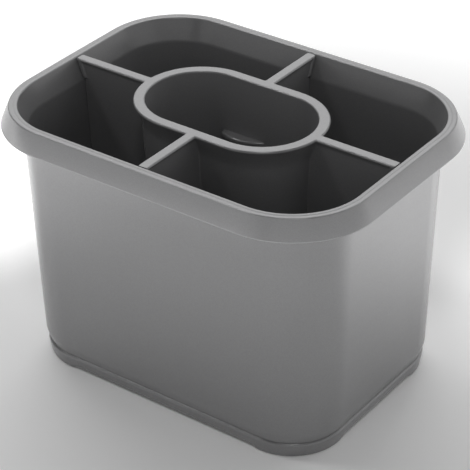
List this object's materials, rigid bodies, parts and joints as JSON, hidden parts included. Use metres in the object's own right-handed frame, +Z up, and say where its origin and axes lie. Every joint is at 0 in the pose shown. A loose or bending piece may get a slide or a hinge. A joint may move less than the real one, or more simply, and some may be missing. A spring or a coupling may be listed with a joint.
{
  "type": "cutlery drainer",
  "caption": "Rounded rectangular cutlery drainer with a folded rim, a lift-out divider around an obround well, and a footed drip tray",
  "frame": {"origin": "middle of the footprint, on the surface that the drainer stands on", "axes": "+X along the long side, -Y towards the long front, +Z up"},
  "size_m": [0.1968, 0.1478, 0.135],
  "materials": {
    "metallic_grey_plastic": "semi-gloss moulded plastic with a fine metallic flake",
    "soft_rubber": "matt black rubber"
  },
  "bodies": {
    "tray": {"drip_tray": "metallic_grey_plastic", "non_slip_pad_front_left": "soft_rubber", "non_slip_pad_front_right": "soft_rubber", "non_slip_pad_back_right": "soft_rubber", "non_slip_pad_back_left": "soft_rubber"},
    "bin": {"bin": "metallic_grey_plastic"},
    "divider": {"divider": "metallic_grey_plastic"}
  },
  "joints": [
    {"name": "bin_lift", "type": "slide", "parent": "tray", "child": "bin", "axis": [0, 0, 1], "range_m": [0, 0.1]},
    {"name": "divider_lift", "type": "slide", "parent": "bin", "child": "divider", "axis": [0, 0, 1], "range_m": [0, 0.15]}
  ]
}
